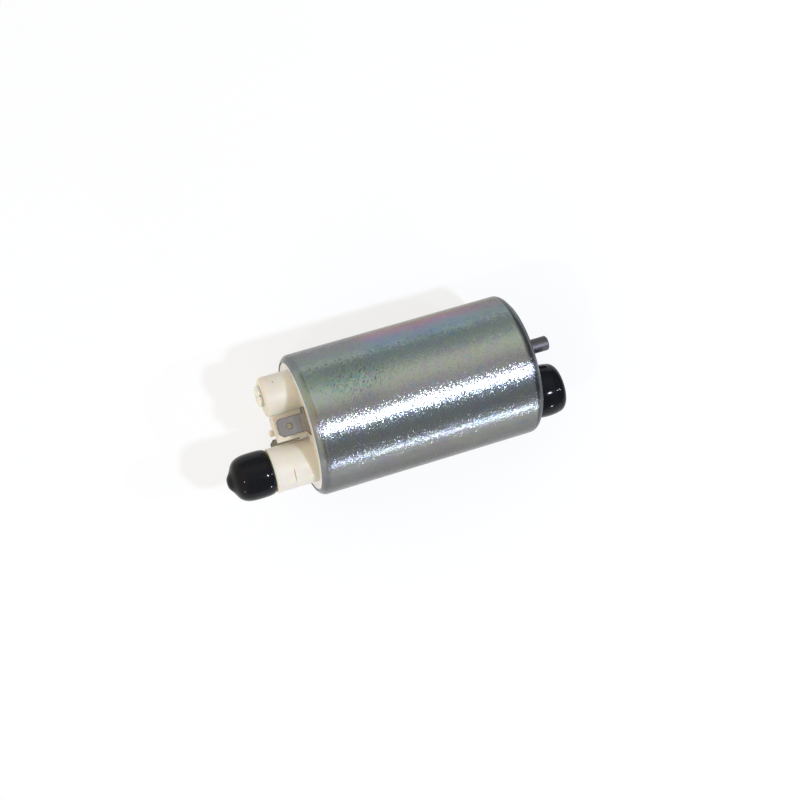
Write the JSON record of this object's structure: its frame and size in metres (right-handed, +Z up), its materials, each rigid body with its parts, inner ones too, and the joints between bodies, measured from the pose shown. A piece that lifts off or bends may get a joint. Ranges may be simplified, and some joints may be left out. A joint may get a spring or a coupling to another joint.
{
  "type": "electric fuel pump",
  "caption": "Electric in-tank fuel pump with a rolled steel shell, a plastic outlet cover with spade terminals, a hose nipple, a relief valve and slip-on caps.",
  "frame": {"origin": "on the pump's axis, half-way along the steel shell", "axes": "+X along the pump's axis towards the outlet, +Z up with the pump lying on its side, terminal_positive on top and the outlet nipple towards +Y"},
  "size_m": [0.0943, 0.038, 0.038],
  "materials": {
    "plated_steel": "zinc plated with a clear yellow passivate, satin with a faint iridescence",
    "cover_plastic": "cream acetal, satin",
    "cast_metal": "die cast, grey",
    "casing_plastic": "dark mineral-filled plastic",
    "terminal_metal": "tin plated strip, satin",
    "cap_vinyl": "black dipped vinyl, glossy",
    "ferrite": "sintered ferrite, matte",
    "spring_steel": "drawn spring steel",
    "bearing_bronze": "sintered bronze, oiled",
    "ground_steel": "ground",
    "impeller_plastic": "phenolic moulding",
    "washer_plastic": "nylon",
    "core_steel": "stacked electrical steel",
    "insulator_fibre": "fibre board",
    "copper_wire": "enamelled copper",
    "hub_plastic": "moulded phenolic",
    "carbon": "pressed carbon",
    "seal_rubber": "nitrile rubber",
    "valve_plastic": "acetal"
  },
  "bodies": {
    "housing": {"shell": "plated_steel", "outlet_cover": "cover_plastic", "inlet_cover": "cast_metal", "pump_casing": "casing_plastic", "outlet_seal": "seal_rubber", "terminal_positive": "terminal_metal", "terminal_negative": "terminal_metal", "choke_core_a": "ferrite", "choke_core_b": "ferrite", "choke_coil_a": "copper_wire", "choke_coil_b": "copper_wire", "magnet_upper": "ferrite", "magnet_lower": "ferrite", "magnet_clip_a": "spring_steel", "magnet_clip_b": "spring_steel", "front_bearing": "bearing_bronze", "rear_bearing": "bearing_bronze", "thrust_button": "ground_steel", "brush_lead_a": "copper_wire", "brush_lead_b": "copper_wire", "brush_spring_a": "spring_steel", "brush_spring_b": "spring_steel", "check_valve_seat": "valve_plastic", "check_valve_spring": "spring_steel", "relief_spring": "spring_steel", "relief_plug": "valve_plastic"},
    "rotor": {"shaft": "ground_steel", "impeller": "impeller_plastic", "front_washer": "washer_plastic", "rear_washer": "washer_plastic", "armature_core": "core_steel", "insulator_front": "insulator_fibre", "insulator_rear": "insulator_fibre", "armature_winding": "copper_wire", "commutator_hub": "hub_plastic", "commutator_face": "carbon"},
    "brush_a": {"brush_a": "carbon"},
    "brush_b": {"brush_b": "carbon"},
    "check_poppet": {"check_valve_poppet": "valve_plastic", "check_valve_disc": "seal_rubber"},
    "relief_ball": {"relief_ball": "ground_steel"},
    "outlet_cap": {"outlet_cap": "cap_vinyl"},
    "inlet_cap": {"inlet_cap": "cap_vinyl"}
  },
  "joints": [
    {"name": "rotor_spin", "type": "hinge", "parent": "housing", "child": "rotor", "pos_m": [0, 0, 0], "axis": [1, 0, 0], "continuous": true},
    {"name": "brush_a_slide", "type": "slide", "parent": "housing", "child": "brush_a", "axis": [1, 0, 0], "range_m": [0, 0.0025], "stiffness_N_per_m": 150, "springref_m": -0.005, "deforming": ["brush_spring_a", "brush_lead_a"]},
    {"name": "brush_b_slide", "type": "slide", "parent": "housing", "child": "brush_b", "axis": [1, 0, 0], "range_m": [0, 0.0025], "stiffness_N_per_m": 150, "springref_m": -0.005, "deforming": ["brush_spring_b", "brush_lead_b"]},
    {"name": "check_valve_lift", "type": "slide", "parent": "housing", "child": "check_poppet", "axis": [1, 0, 0], "range_m": [0, 0.002], "stiffness_N_per_m": 200, "springref_m": -0.002, "deforming": ["check_valve_spring"]},
    {"name": "relief_valve_lift", "type": "slide", "parent": "housing", "child": "relief_ball", "axis": [1, 0, 0], "range_m": [0, 0.0015], "stiffness_N_per_m": 1500, "springref_m": -0.002, "deforming": ["relief_spring"]},
    {"name": "outlet_cap_pull", "type": "slide", "parent": "housing", "child": "outlet_cap", "axis": [1, 0, 0], "range_m": [0, 0.03]},
    {"name": "inlet_cap_pull", "type": "slide", "parent": "housing", "child": "inlet_cap", "axis": [-1, 0, 0], "range_m": [0, 0.03]}
  ]
}
